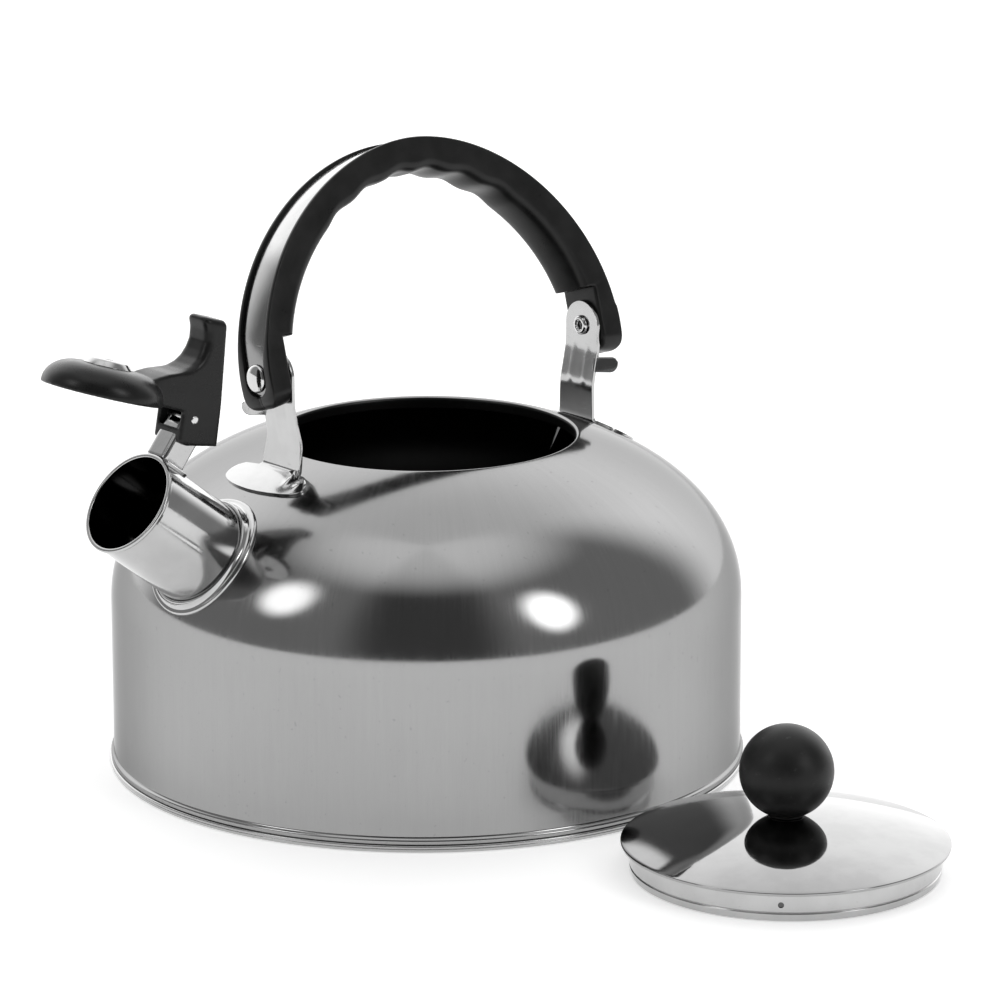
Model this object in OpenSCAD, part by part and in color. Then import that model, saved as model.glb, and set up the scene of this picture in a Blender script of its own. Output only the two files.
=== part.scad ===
// Stovetop whistling kettle with a folding bail handle, a flip-up whistle
// cap on the spout and a loose lid that lies on the surface beside it.
//
// Frame: millimetres, +Z up, origin at the middle of the base on the surface
// that the kettle stands on. The spout points to -X. The handle's pivots lie
// on a line that runs along X, a little lower at the rear, and the handle
// leans towards +Y.

/* [Body] */
// Outer radius of the straight wall
body_r = 100; // [97:0.5:102]
// Height where the straight wall turns into the dome
wall_top = 53; // [50:0.2:57]
// Height that the dome's curve would rise above the wall on the axis
dome_h = 58.5; // [57:0.1:61]
// Fullness of the dome's curve, where 2 is a true ellipse
dome_fullness = 2.15; // [2.05:0.01:2.25]
// Thickness of the steel sheet
sheet_t = 0.6; // [0.5:0.1:0.8]
// Radius of the filling opening
opening_r = 47.3; // [46.9:0.1:48]
// Outer radius of the rolled lip round the filling opening
lip_r = 1.2; // [1.1:0.1:2]
// Height of the seam that joins the wall to the base
seam_h = 4.0; // [3.6:0.1:5]
// How far the seam stands out from the wall
seam_out = 1.45; // [1.2:0.05:2]

/* [Spout] */
// Distance of the spout's mouth from the kettle's axis
spout_x = 115.3; // [113:0.1:117]
// Height of the middle of the spout's mouth
spout_z = 102.2; // [100:0.1:104]
// Angle of the spout above the level
spout_rise = 37.4; // [35:0.1:40]
// Radius of the spout's bore
spout_bore_r = 15.5; // [15:0.1:15.7]
// Outer radius of the spout just behind the mouth
spout_r = 16.3; // [16.1:0.1:16.5]
// Outer radius of the spout at its root
spout_root_r = 16.8; // [16.6:0.1:17]
// Outer radius of the collar that is pressed onto the body
collar_r = 20.3; // [19.5:0.1:21]
// Outer radius of the collar's neck
collar_neck_r = 17.9; // [17.6:0.1:18.4]

/* [Handle] */
// Height of the middle of the handle's pivot line
pivot_z = 131.7; // [130:0.1:133]
// How far the handle's middle is set back from the kettle's axis
handle_x = 3.5; // [0:0.1:5]
// Half the outer width of the arch at its pivots
arch_w = 70.1; // [69:0.1:71]
// Height of the arch above its widest line
arch_h = 67.3; // [65:0.1:69]
// Fullness of the arch's curve, where 2 is a true ellipse
arch_fullness = 1.89; // [1.84:0.01:1.96]
// Width of the grip
grip_w = 16.4; // [16:0.1:17]
// Depth of the grip at the top of the arch
grip_depth = 10.8; // [10:0.1:12]
// Width of the steel strap
strap_w = 13; // [12.5:0.1:13.4]
// Lean of the handle towards +Y as it rests on its stop
handle_lean = 17.3; // [10:0.1:20]
// Tilt of the pivot line, down towards the rear
handle_tilt = 1.0; // [0:0.1:1.2]

/* [Brackets] */
// Distance of each bracket's middle plane from the middle of the handle
bracket_x = 61.3; // [61.1:0.1:61.8]
// Width of the bracket strip
bracket_w = 15.6; // [15:0.1:16]
// Thickness of the bracket strip
bracket_t = 1.2; // [1:0.1:1.4]
// How far the bracket's waist is set in from its pivot end
bracket_jog = 2.4; // [1:0.1:3]
// How far the front bracket's root is set in from its pivot end
front_root_in = 1.2; // [0.8:0.1:2.4]
// How far the rear bracket's root is set in from its pivot end
rear_root_in = 2.4; // [0.8:0.1:2.4]
// Radius of the pivot hole in the bracket
pivot_bore_r = 2.5; // [2.3:0.1:2.7]

/* [Whistle] */
// Outer radius of the whistle cap
cap_r = 18.7; // [18.4:0.1:19]
// Depth of the whistle cap
cap_h = 8.6; // [8.4:0.1:10]
// Distance of the hinge pin from the spout's axis
hinge_up = 31.3; // [31:0.1:31.6]
// Distance of the hinge pin behind the spout's mouth
hinge_back = 2.1; // [2:0.1:2.2]
// Angle from the closed cap to the open cap
whistle_open = 70; // [60:0.5:74]

/* [Lid] */
// Where the middle of the lid lies beside the kettle, along X
lid_x = 9.8; // [5:0.1:20]
// Where the middle of the lid lies beside the kettle, along Y
lid_y = -159.2; // [-180:0.1:-156]
// Outer radius of the lid's flange
lid_r = 49.4; // [48.2:0.1:50]
// Outer radius of the lid's skirt
skirt_r = 46.8; // [46.3:0.1:46.8]
// Height of the lid's rim above the surface
lid_h = 9.4; // [9:0.1:11]
// How far the lid's domed top rises above its rim
lid_rise = 7.8; // [7:0.1:7.9]
// Radius of the ball knob
knob_r = 14.2; // [13:0.1:15]
// Height of the middle of the knob above the surface
knob_z = 30.9; // [29:0.1:32]

/* [Hidden] */

$fn = 96;
// Clearance of a shaft or sleeve in the hole that holds it
fit_gap = 0.05;
// Gap between pieces that move past each other
run_gap = 0.3;

// ---- Dome -------------------------------------------------------------------

// Exponent that turns an even angle into an even step along the dome's curve
dome_power = 2 / dome_fullness;
// Steps along the dome's curve
dome_steps = 30;

// Height of the dome at radius r, on a copy of the dome that is grown by g
function dome_z(r, g = 0) =
    wall_top + (dome_h + g) * pow(1 - pow(r / (body_r + g), dome_fullness), 1 / dome_fullness);

// Angle parameter at which that copy of the dome has radius r
function dome_angle(r, g = 0) = acos(pow(r / (body_r + g), 1 / dome_power));

function dome_point(a, g = 0) =
    [(body_r + g) * pow(cos(a), dome_power), wall_top + (dome_h + g) * pow(sin(a), dome_power)];

// Points from the top of the wall up to radius r
function dome_curve(r, g = 0) =
    [for (i = [0 : dome_steps]) dome_point(dome_angle(r, g) * i / dome_steps, g)];

function reversed(list) = [for (i = [len(list) - 1 : -1 : 0]) list[i]];

function arc(c, r, from, to, n = 8) =
    [for (i = [0 : n]) let (a = from + (to - from) * i / n) c + r * [cos(a), sin(a)]];

// The lip turns over from lip_start degrees to straight down into the neck
lip_start = 72;
lip_x = opening_r + lip_r;
lip_z = dome_z(lip_x + lip_r * cos(lip_start)) - lip_r * sin(lip_start);
neck_bottom = lip_z - 2.6;
// The wall's foot is a small rolled edge that sits on the base's hem
hem_h = 2.2;
foot_out = 0.9;

// ---- Local frames -----------------------------------------------------------

// +Z runs out of the spout's mouth, +X points up and back from its axis
module spout_frame() {
    translate([-spout_x, 0, spout_z]) rotate([0, spout_rise - 90, 0]) children();
}

// The cap's own frame has its origin on the hinge pin. With the cap closed
// its axes are parallel to the spout's.
module cap_frame() {
    spout_frame() translate([hinge_up, 0, -hinge_back]) rotate([0, whistle_open, 0]) children();
}

// The handle's frame has X along the pivots and Z up the leaning arch
module handle_frame() {
    translate([handle_x, 0, pivot_z]) rotate([0, handle_tilt, 0]) rotate([-handle_lean, 0, 0]) children();
}

module lid_frame() {
    translate([lid_x, lid_y, 0]) children();
}

// Extrudes an outline drawn in X and Z by width w, centred on Y
module upright(w) {
    rotate([90, 0, 0]) linear_extrude(height = w, center = true) children();
}

// ---- Body -------------------------------------------------------------------

module body_shell() {
    inner_lip = lip_r - sheet_t;
    inner_start = lip_x + inner_lip * cos(lip_start);
    outline = concat(
        [[body_r - sheet_t, hem_h], [body_r + foot_out - 0.3, hem_h], [body_r + foot_out, hem_h + 0.3],
         [body_r + foot_out, seam_h - 0.5], [body_r, seam_h]],
        dome_curve(lip_x + lip_r * cos(lip_start)),
        arc([lip_x, lip_z], lip_r, lip_start + 18, 180, 6),
        [[opening_r, neck_bottom], [opening_r + sheet_t, neck_bottom]],
        arc([lip_x, lip_z], inner_lip, 180, lip_start + 18, 6),
        reversed(dome_curve(inner_start, -sheet_t))
    );
    color("silver") difference() {
        rotate_extrude($fn = 180) polygon(outline);
        spout_frame() translate([0, 0, -60]) cylinder(r = spout_root_r + fit_gap, h = 60);
    }
}

module base_pan() {
    rim = body_r + seam_out;
    // A pressed ring leaves the middle pad and the hem standing on the surface
    pad_r = 69;
    ring_r = 95;
    rise = 0.8;
    bevel = 0.45;
    outline = [
        [0, 0], [pad_r, 0], [pad_r + 1.5, rise], [ring_r, rise], [ring_r + 1.5, 0],
        [rim - bevel, 0], [rim, bevel], [rim, hem_h - 0.4], [rim - 0.4, hem_h],
        [body_r - 1.2, hem_h], [body_r - 2.4, 2 * rise], [pad_r + 1, 2 * rise], [pad_r - 0.5, rise], [0, rise]
    ];
    color("gainsboro") rotate_extrude($fn = 180) polygon(outline);
}

// ---- Spout ------------------------------------------------------------------

// Turns the start of each round surface away from the planes of symmetry
seam_turn = 10;

// The solid inside the dome's outer face grown by g, used to fit pieces to it
module dome_solid(g = 0) {
    top = dome_curve(20, g);
    rotate([0, 0, seam_turn]) rotate_extrude($fn = 180)
        polygon(concat([[0, 30], [body_r + g, 30]], top, [[0, top[dome_steps][1]]]));
}

spout_len = 38.5;

module spout_tube() {
    bead_r = spout_r + 0.55;
    bead_h = 1.3;
    outline = concat(
        [[spout_bore_r, -spout_len], [spout_root_r, -spout_len], [spout_root_r, -33], [spout_r, -bead_h - 0.5]],
        arc([bead_r - bead_h / 2, -bead_h / 2], bead_h / 2, -60, 90, 6),
        [[spout_bore_r + 0.2, 0], [spout_bore_r, -0.2]]
    );
    color("silver") spout_frame() rotate_extrude() polygon(outline);
}

module spout_collar() {
    // The flange is one sheet thick and follows the dome, the neck stands up from it
    flange_t = 0.8;
    neck_front = -33.0;
    color("silver") difference() {
        union() {
            intersection() {
                dome_solid(flange_t);
                spout_frame() rotate([0, 0, seam_turn]) translate([0, 0, -45]) cylinder(r = collar_r, h = 20);
            }
            spout_frame() rotate([0, 0, seam_turn]) rotate_extrude() polygon([
                [spout_root_r - 0.5, -42], [collar_neck_r, -42], [collar_neck_r, neck_front - 0.6],
                [collar_neck_r - 0.5, neck_front], [spout_root_r - 0.5, neck_front]
            ]);
        }
        dome_solid(fit_gap);
        spout_frame() rotate([0, 0, seam_turn]) translate([0, 0, -60])
            cylinder(r = spout_root_r + fit_gap, h = 60);
    }
}

// ---- Handle brackets --------------------------------------------------------

// Plan of the foot that is spot welded to the dome, with the strip's root at
// the origin and the outward side towards +X
foot_plan = [
    [-0.6, -9.7], [0.8, -15.5], [3, -18.2], [6.2, -18.8], [8.8, -17.2], [11.2, -11], [12, -5], [11.9, 0],
    [10.9, 8], [9.6, 12.6], [7.8, 16.6], [5.4, 17.6], [2.8, 16.4], [-0.6, 8.8]
];

// One bracket, drawn with the outward side towards +X and measured from the
// middle of the handle. The front one is turned round, and its root is bent
// further out.
module bracket(pivot_h, root_x, root_in) {
    half_t = bracket_t / 2;
    half_w = bracket_w / 2;
    root_half_w = 9.4;
    root_z = dome_z(root_x + 1) - 0.6;
    waist_h = pivot_z - 20.2;
    bend_h = pivot_z - 7.7;
    flare_h = pivot_z - 14;
    strip_top = pivot_h + half_w;
    line = [
        [bracket_x, strip_top + 1], [bracket_x, bend_h], [bracket_x - bracket_jog, waist_h],
        [bracket_x - root_in, root_z]
    ];
    // Upright strip with a waist, rounded over the pivot and flared at the root
    intersection() {
        upright(3 * bracket_w) polygon(concat(
            [for (p = line) p + [half_t, 0]], reversed([for (p = line) p - [half_t, 0]])
        ));
        rotate([90, 0, 90]) linear_extrude(height = 100) union() {
            translate([0, pivot_h]) circle(r = half_w);
            polygon([
                [half_w, pivot_h], [-half_w, pivot_h], [-half_w, flare_h], [-root_half_w, root_z],
                [root_half_w, root_z], [half_w, flare_h]
            ]);
        }
    }
    // Stop tab, bent outward at one edge
    tab_drop = 9.3;
    tab_h = 4.8;
    tab_len = 9;
    translate([bracket_x - 1, -half_w, 0]) upright_tab(pivot_h - tab_drop, tab_h, tab_len);
}

// A flat tab with a rounded end, in the plane of X and Z
module upright_tab(top, h, len) {
    translate([0, 0, top - h]) cube([len - h / 2, bracket_t, h]);
    translate([len - h / 2, 0, top - h / 2]) rotate([-90, 0, 0]) cylinder(r = h / 2, h = bracket_t);
}

// One sheet of the bracket's foot, fitted to the dome's curve
module bracket_foot(turn, root_in) {
    foot_t = 0.9;
    root = bracket_x - root_in - bracket_t / 2;
    intersection() {
        difference() {
            dome_solid(foot_t);
            dome_solid(fit_gap);
        }
        translate([handle_x, 0, 80]) rotate([0, 0, turn]) translate([root, 0, 0])
            linear_extrude(height = 40) polygon(foot_plan);
    }
}

// Strip, foot and pivot hole of the bracket on one side of the handle
module whole_bracket(turn, root_in) {
    side = turn == 0 ? 1 : -1;
    pivot_h = pivot_z - side * bracket_x * sin(handle_tilt);
    root_x = abs(handle_x + side * (bracket_x - root_in));
    color("silver") difference() {
        union() {
            translate([handle_x, 0, 0]) rotate([0, 0, turn]) bracket(pivot_h, root_x, root_in);
            bracket_foot(turn, root_in);
        }
        dome_solid(fit_gap);
        handle_frame() rotate([0, 90, 0]) cylinder(r = pivot_bore_r, h = 200, center = true);
    }
}

module front_bracket() {
    whole_bracket(180, front_root_in);
}

module rear_bracket() {
    whole_bracket(0, rear_root_in);
}

// ---- Handle -----------------------------------------------------------------

// Half width of the arch's curve at height h, on a copy shrunk by d
function arch_x(h, d = 0) =
    (arch_w - d) * pow(1 - pow(abs(h + 0.7) / (arch_h - d), arch_fullness), 1 / arch_fullness);

arch_power = 2 / arch_fullness;

function arch_point(a, d = 0) =
    [(arch_w - d) * pow(abs(cos(a)), arch_power) * sign(cos(a)),
     (arch_h - d) * pow(abs(sin(a)), arch_power) * sign(sin(a)) - 0.7];

function arch_curve(from, to, d = 0, n = 48) =
    [for (i = [0 : n]) arch_point(from + (to - from) * i / n, d)];

// The grip's depth follows shallow finger waves either side of the top
wave_depth = 0.9;
wave_angle = 13.5;
wave_half_span = 41;
function belly_depth(a) =
    grip_depth - (abs(a - 90) < wave_half_span ? wave_depth * (1 - cos((a - 90) * 360 / wave_angle)) / 2 : 0);

tongue_end = -10.2;
tongue_in = bracket_x + bracket_t / 2 + run_gap;
// The thick grip ends in a step down to the tongue at this angle of the arch
shoulder_a = 13.3;

module grip_outline() {
    belly_n = 68;
    belly = [for (i = [0 : belly_n])
        let (a = shoulder_a + (180 - 2 * shoulder_a) * i / belly_n)
        arch_point(a, belly_depth(a))];
    shoulder_h = belly[0][1];
    toe = 4;
    end_out = arch_x(tongue_end + toe);
    polygon(concat(
        [[tongue_in, tongue_end], [end_out - 3.5, tongue_end], [end_out - 0.9, tongue_end + 1.4],
         [end_out, tongue_end + toe]],
        arch_curve(0, 180),
        [[-end_out, tongue_end + toe], [-end_out + 0.9, tongue_end + 1.4],
         [-end_out + 3.5, tongue_end], [-tongue_in, tongue_end], [-tongue_in, shoulder_h]],
        reversed(belly),
        [[tongue_in, shoulder_h]]
    ));
}

// Rounds the ends of the tongues: a plate seen along X
module tongue_plan() {
    corner = 5.5;
    half = grip_w / 2;
    rotate([90, 0, 90]) linear_extrude(height = 200, center = true) union() {
        translate([-half, tongue_end + corner]) square([grip_w, arch_h + 30]);
        translate([-half + corner, tongue_end]) square([grip_w - 2 * corner, corner + 1]);
        for (s = [-1, 1]) translate([s * (half - corner), tongue_end + corner]) circle(r = corner);
    }
}

strap_t = 0.8;
strap_sink = 0.85;

module strap_band(outer, inner, w, end_h) {
    upright(w) difference() {
        polygon(concat(arch_curve(-8, 188, outer, 56)));
        polygon(concat(arch_curve(-8, 188, inner, 56), [[-arch_w + inner, -40], [arch_w - inner, -40]]));
        translate([-100, end_h - 60]) square([200, 60]);
    }
}

rivet_shank_r = pivot_bore_r - fit_gap;

module handle_grip() {
    color([0.13, 0.13, 0.14]) handle_frame() difference() {
        intersection() {
            upright(grip_w) grip_outline();
            tongue_plan();
        }
        strap_band(-5, strap_sink + strap_t + 0.05, strap_w + 0.3, -6);
        rotate([0, 90, 0]) cylinder(r = pivot_bore_r, h = 200, center = true);
    }
}

module handle_strap() {
    color("silver") handle_frame() difference() {
        strap_band(strap_sink, strap_sink + strap_t, strap_w, -5.8);
        rotate([0, 90, 0]) cylinder(r = pivot_bore_r, h = 200, center = true);
    }
}

// Semi-tubular rivet: domed head outside, rolled tubular end inside
module pivot_rivet() {
    head_r = 4.4;
    head_h = 1.7;
    hole_r = 1.75;
    rolled_r = 3.15;
    seat = arch_w - strap_sink + 0.02;
    inner = bracket_x - bracket_t / 2 - 0.15;
    outline = concat(
        [[hole_r, inner - 1], [rolled_r - 0.4, inner - 1], [rolled_r, inner - 0.6], [rolled_r, inner],
         [rivet_shank_r, inner], [rivet_shank_r, seat], [head_r, seat], [head_r, seat + 0.4]],
        [for (i = [1 : 6]) let (a = 90 * i / 6) [head_r * cos(a), seat + 0.4 + head_h * sin(a)]],
        [[0, inner + 4], [hole_r, inner + 4]]
    );
    rotate([0, 90, 0]) rotate_extrude($fn = 48) polygon(outline);
}

module front_pivot_rivet() {
    color("silver") handle_frame() mirror([1, 0, 0]) pivot_rivet();
}

module rear_pivot_rivet() {
    color("silver") handle_frame() pivot_rivet();
}

// ---- Whistle ----------------------------------------------------------------

hinge_bore_r = 1.35;
ear_t = 1.0;
ear_out = 4.8;
web_front = -0.3;
web_t = 1.0;
ear_back = -8.9;
bracket_foot_t = 17.15;

module whistle_bracket() {
    color("silver") spout_frame() difference() {
        union() {
            // Web across the front
            translate([bracket_foot_t, -ear_out, web_front - web_t]) cube([11.6, 2 * ear_out, web_t]);
            // Ears, rounded over the pin
            for (s = [-1, 1]) translate([0, s > 0 ? ear_out - ear_t : -ear_out, 0]) {
                translate([bracket_foot_t, 0, ear_back])
                    cube([hinge_up - bracket_foot_t - 3, ear_t, web_front - ear_back]);
                translate([hinge_up - 3.2, 0, -hinge_back - 3.3]) cube([3.2, ear_t, 6.6 - 1.5]);
                translate([hinge_up, 0, -hinge_back]) rotate([-90, 0, 0])
                    cylinder(r = 3.3, h = ear_t, $fn = 48);
            }
            // Foot plate, curved to sit on the tube
            difference() {
                translate([spout_r - 1, -ear_out, ear_back - 2.5])
                    cube([bracket_foot_t - spout_r + 1.8, 2 * ear_out, 9.6]);
                translate([0, 0, -60]) cylinder(r = spout_r + 0.45, h = 70);
            }
        }
        translate([hinge_up, 0, -hinge_back]) rotate([90, 0, 0])
            cylinder(r = hinge_bore_r, h = 60, center = true, $fn = 48);
    }
}

cap_wall = 1.5;
cap_top_r = 9;
plate_in_r = 3;

// Side view of the thumb lever and arm in the cap's frame: first coordinate is
// up from the pin away from the spout's axis, second is along the cap's normal
lever_side = [
    [-18, 2.15], [-18, 9.7], [-15.6, 10.9], [-12.6, 12.1], [-9.2, 13.0], [-6.2, 14.2], [-3.8, 15.9],
    [-2.1, 18.1], [-1.1, 20.8], [-0.7, 23.8], [-1.5, 27.1], [-3.1, 30.1], [-2.3, 31.0], [4.6, 31.0],
    [5.6, 30.2], [10.9, -6.7], [-0.4, -8.2], [-3.5, -7.6], [-4.7, 2.15]
];
lever_top = 31.2;

module whistle_cap() {
    cap_axis = -hinge_up;
    rim_z = hinge_back;
    slot = ear_out + 0.35;
    half = slot + 1.85;
    color([0.13, 0.13, 0.14]) cap_frame() difference() {
        union() {
            // Round cap
            translate([cap_axis, 0, rim_z]) rotate_extrude() polygon(concat(
                [[0, 0], [cap_r, 0], [cap_r, 0.8]],
                [for (i = [1 : 10]) let (a = 90 * i / 10)
                    [cap_top_r + (cap_r - cap_top_r) * cos(a), 0.8 + (cap_h - 0.8) * sin(a)]],
                [[0, cap_h]]
            ));
            // Lever, arm and the two cheeks that straddle the bracket's ears
            intersection() {
                upright(2 * half) polygon(lever_side);
                translate([-30, 0, 0]) rotate([90, 0, 90]) linear_extrude(height = 60)
                    polygon([
                        [-half, -20], [half, -20], [half, 6], [half - 1.8, lever_top],
                        [-half + 1.8, lever_top], [-half, 6]
                    ]);
            }
        }
        // Hollow of the cap
        translate([cap_axis, 0, rim_z]) rotate_extrude() polygon(concat(
            [[0, -1], [cap_r - cap_wall, -1], [cap_r - cap_wall, 0.8]],
            [for (i = [1 : 8]) let (a = 90 * i / 8)
                [cap_top_r - 1 + (cap_r - cap_wall - cap_top_r + 1) * cos(a),
                 0.8 + (cap_h - cap_wall - 0.8) * sin(a)]],
            [[0, cap_h - cap_wall]]
        ));
        // Steam hole in the top
        translate([cap_axis, 0, 0]) cylinder(r = 4, h = 30);
        // Slot for the bracket's ears and web, open over the whole swing
        rotate([90, 0, 0]) cylinder(r = 5, h = 2 * slot, center = true, $fn = 48);
        translate([-30, -slot, -9.3]) cube([36, 2 * slot, rim_z + 9.3]);
        // Pin hole
        rotate([90, 0, 0]) cylinder(r = hinge_bore_r - 0.03, h = 60, center = true, $fn = 48);
    }
}

module whistle_outer_plate() {
    plate_r = 7.6;
    hole_r = 1.5;
    t = 0.5;
    rise = 1.5;
    base = hinge_back + cap_h;
    color("silver") cap_frame() translate([-hinge_up, 0, base]) rotate_extrude($fn = 64) polygon(concat(
        [[hole_r, rise], [hole_r, rise + t]],
        reversed([for (i = [0 : 6]) let (a = 90 * i / 6) [plate_r - 1.8 + 1.8 * cos(a), (rise + t) * sin(a)]]),
        [[plate_r - t, 0]],
        [for (i = [0 : 6]) let (a = 90 * i / 6) [plate_r - 1.8 + (1.8 - t) * cos(a), rise * sin(a)]]
    ));
}

module whistle_inner_plate() {
    color("silver") cap_frame() translate([-hinge_up, 0, hinge_back + 0.5]) difference() {
        cylinder(r = cap_r - cap_wall - fit_gap, h = 0.5);
        translate([0, 0, -1]) cylinder(r = plate_in_r, h = 3, $fn = 48);
    }
}

module whistle_pin() {
    len = 14.6;
    color("silver") cap_frame() rotate([90, 0, 0])
        cylinder(r = hinge_bore_r - fit_gap, h = len, center = true, $fn = 48);
}

// Leaf spring behind the web that holds the cap open or shut
module whistle_spring() {
    leaf_w = 5;
    leaf_t = 0.4;
    back = web_front - web_t;
    color("lightgray") spout_frame() translate([0, -leaf_w / 2, 0]) {
        translate([bracket_foot_t + 0.9, 0, back - leaf_t]) cube([9.6, leaf_w, leaf_t]);
        translate([bracket_foot_t + 0.9, 0, back - 5.6]) cube([leaf_t, leaf_w, 5.6]);
    }
}

// ---- Lid --------------------------------------------------------------------

flange_t = 1.0;
screw_r = 2;
disc_t = 0.7;

lid_top = lid_h + lid_rise;
// Radius of the sphere that the lid's top is part of
lid_curve = (pow(lid_r, 2) + pow(lid_rise, 2)) / (2 * lid_rise);

// Height of the lid's top face at radius r
function lid_z(r) = lid_top - lid_curve + sqrt(pow(lid_curve, 2) - pow(r, 2));

module lid_disc() {
    // Shallow mirror dome with a small rolled edge
    hole_r = screw_r + 0.2;
    edge = 0.4;
    rim_drop = 0.5;
    steps = 14;
    rim_in = skirt_r - 0.6;
    under = [for (i = [0 : steps]) let (r = hole_r + (rim_in - hole_r) * i / steps) [r, lid_z(r) - disc_t]];
    top = [for (i = [0 : steps]) let (r = lid_r - edge - (lid_r - edge - hole_r) * i / steps) [r, lid_z(r)]];
    outline = concat(
        under,
        [[rim_in, lid_h - disc_t - rim_drop], [lid_r - edge, lid_h - disc_t - rim_drop],
         [lid_r, lid_h - disc_t - rim_drop + edge], [lid_r, lid_h - edge]],
        top
    );
    color("silver") lid_frame() rotate_extrude($fn = 144) polygon(outline);
}

module lid_skirt() {
    top = lid_h - disc_t - 0.5;
    t = 0.5;
    groove_z = 2.4;
    groove = 0.35;
    outline = [
        [skirt_r, top], [skirt_r, groove_z + 0.6], [skirt_r - groove, groove_z],
        [skirt_r - 0.05, groove_z - 0.5], [skirt_r - 0.3, 0], [skirt_r - t - 0.4, 0],
        [skirt_r - groove - t, groove_z], [skirt_r - t, groove_z + 0.6], [skirt_r - t, top]
    ];
    vent_r = 0.9;
    vent_z = 5.0;
    vent_angle = -134;
    color("gainsboro") lid_frame() difference() {
        rotate_extrude($fn = 144) polygon(outline);
        rotate([0, 0, vent_angle]) translate([skirt_r - 3, 0, vent_z]) rotate([0, 90, 0])
            cylinder(r = vent_r, h = 6, $fn = 32);
    }
}

insert_r = 3.4;
insert_len = 9;

module lid_knob() {
    neck_r = 5.2;
    ball_start = -acos(neck_r / knob_r);
    seat = lid_top + 0.02;
    // The ball, flattened where it meets the lid
    ball = [for (i = [0 : 20]) let (a = ball_start + (90 - ball_start) * i / 20)
        [knob_r * cos(a), knob_z + knob_r * sin(a)]];
    outline = concat(
        [[screw_r + 0.3, seat], [neck_r, seat]],
        ball,
        [[0, lid_top + insert_len + 3], [insert_r + fit_gap, lid_top + insert_len + 3],
         [insert_r + fit_gap, lid_top + 2], [screw_r + 0.3, lid_top + 2]]
    );
    color([0.12, 0.12, 0.13]) lid_frame() rotate_extrude() polygon(outline);
}

// Threaded brass insert moulded into the knob
module knob_insert() {
    color("goldenrod") lid_frame() translate([0, 0, lid_top + 2.05]) difference() {
        cylinder(r = insert_r, h = insert_len, $fn = 48);
        translate([0, 0, -1]) cylinder(r = screw_r + fit_gap, h = insert_len + 2, $fn = 48);
    }
}

washer_r = 6;
washer_t = 0.8;
// The washer's rim lies just under the hollow of the lid
washer_z = lid_z(washer_r) - disc_t - washer_t - 0.02;

module knob_screw() {
    head_r = 4;
    head_h = 1.8;
    head_top = washer_z;
    color("gray") lid_frame() difference() {
        union() {
            translate([0, 0, head_top - head_h]) cylinder(r1 = head_r - 1, r2 = head_r, h = head_h, $fn = 48);
            translate([0, 0, head_top - 0.1])
                cylinder(r = screw_r, h = lid_top + insert_len - head_top, $fn = 48);
        }
        // Cross recess
        for (a = [0, 90]) rotate([0, 0, a]) translate([-2, -0.4, head_top - head_h - 1]) cube([4, 0.8, 2]);
    }
}

module knob_washer() {
    color("lightgray") lid_frame() translate([0, 0, washer_z]) difference() {
        cylinder(r = washer_r, h = washer_t, $fn = 48);
        translate([0, 0, -1]) cylinder(r = screw_r + 0.15, h = washer_t + 2, $fn = 48);
    }
}

body_shell();
base_pan();
spout_tube();
spout_collar();
front_bracket();
rear_bracket();
handle_grip();
handle_strap();
front_pivot_rivet();
rear_pivot_rivet();
whistle_bracket();
whistle_cap();
whistle_outer_plate();
whistle_inner_plate();
whistle_pin();
whistle_spring();
lid_disc();
lid_skirt();
lid_knob();
knob_insert();
knob_screw();
knob_washer();
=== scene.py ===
"""Looks of the stovetop whistling kettle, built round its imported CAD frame.

Lengths in this file are millimetres and angles are degrees, unless a name
says otherwise; link() turns them into the frame's metres.
"""
import math

import bmesh
import bpy
from mathutils import Matrix, Vector


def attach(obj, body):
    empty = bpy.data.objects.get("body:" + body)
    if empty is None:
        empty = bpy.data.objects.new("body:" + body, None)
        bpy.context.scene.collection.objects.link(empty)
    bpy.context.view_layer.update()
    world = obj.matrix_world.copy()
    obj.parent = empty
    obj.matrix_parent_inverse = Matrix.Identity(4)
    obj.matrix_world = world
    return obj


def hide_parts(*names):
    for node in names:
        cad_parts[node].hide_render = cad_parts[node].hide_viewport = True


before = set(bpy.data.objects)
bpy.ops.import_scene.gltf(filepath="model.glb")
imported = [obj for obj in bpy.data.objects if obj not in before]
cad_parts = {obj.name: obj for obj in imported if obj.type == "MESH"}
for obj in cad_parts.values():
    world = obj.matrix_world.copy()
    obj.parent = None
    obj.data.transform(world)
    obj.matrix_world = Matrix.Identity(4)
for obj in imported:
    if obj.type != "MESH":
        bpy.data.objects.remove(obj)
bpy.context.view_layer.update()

MM = 0.001
TAU = 2 * math.pi


# ---- Camera -----------------------------------------------------------------

# Direction from the kettle to the camera, seen from above
CAMERA_AZIMUTH = math.radians(-128.5)


def make_camera():
    """A long lens at the photograph's viewing angle."""
    turn = math.radians(38.5)
    pitch, roll, yaw = 0.2600, -0.0019, 0.0145
    place = Vector((0, -1.6134, 0.51243))
    forward = Vector((math.sin(yaw) * math.cos(pitch), math.cos(yaw) * math.cos(pitch), -math.sin(pitch)))
    right = forward.cross(Vector((0, 0, 1))).normalized()
    up = right.cross(forward)
    level_right, level_up = right.copy(), up.copy()
    right = math.cos(roll) * level_right + math.sin(roll) * level_up
    up = -math.sin(roll) * level_right + math.cos(roll) * level_up
    matrix = Matrix((right, up, -forward)).transposed().to_4x4()
    matrix.translation = place
    data = bpy.data.cameras.new("camera")
    data.lens = 190.07
    data.sensor_width = 36
    data.clip_end = 50
    camera = bpy.data.objects.new("camera", data)
    bpy.context.scene.collection.objects.link(camera)
    camera.matrix_world = Matrix.Rotation(-turn, 4, "Z") @ matrix
    bpy.context.scene.camera = camera


make_camera()


# ---- Node helpers -----------------------------------------------------------

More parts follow.
